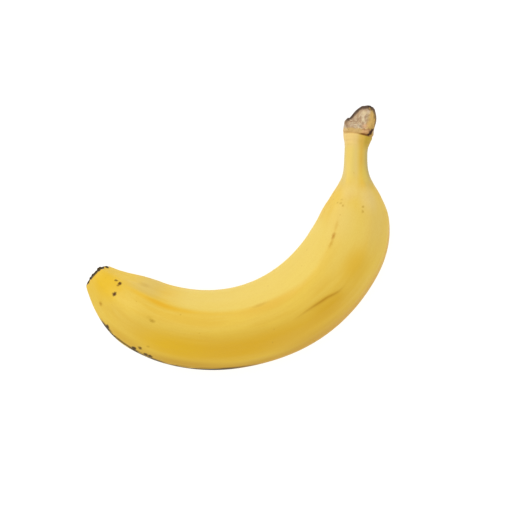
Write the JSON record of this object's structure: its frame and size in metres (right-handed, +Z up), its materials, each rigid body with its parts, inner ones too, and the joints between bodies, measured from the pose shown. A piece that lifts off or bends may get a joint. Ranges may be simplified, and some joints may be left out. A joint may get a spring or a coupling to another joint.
{
  "type": "banana",
  "caption": "Whole ripe banana lying on its side: a bent, softly ridged yellow fruit with a slim neck, a slanting cut crown and a dark blossom scar.",
  "frame": {"origin": "on the surface the fruit lies on, under the middle of its bounding box", "axes": "+Z up; +X the long way of the fruit, from the blossom end towards the outside of the bend; +Y from the belly of the bend towards the stem"},
  "size_m": [0.1366, 0.1196, 0.0352],
  "materials": {
    "peel": "ripe yellow peel with a waxy satin surface, faint lengthwise streaks and a few brown specks",
    "crown": "dry tan fibres of the cut stem with a dark rim",
    "blossom_scar": "dry, rough, nearly black scar where the flower dropped off"
  },
  "bodies": {
    "root": {"banana": "peel"}
  },
  "joints": []
}
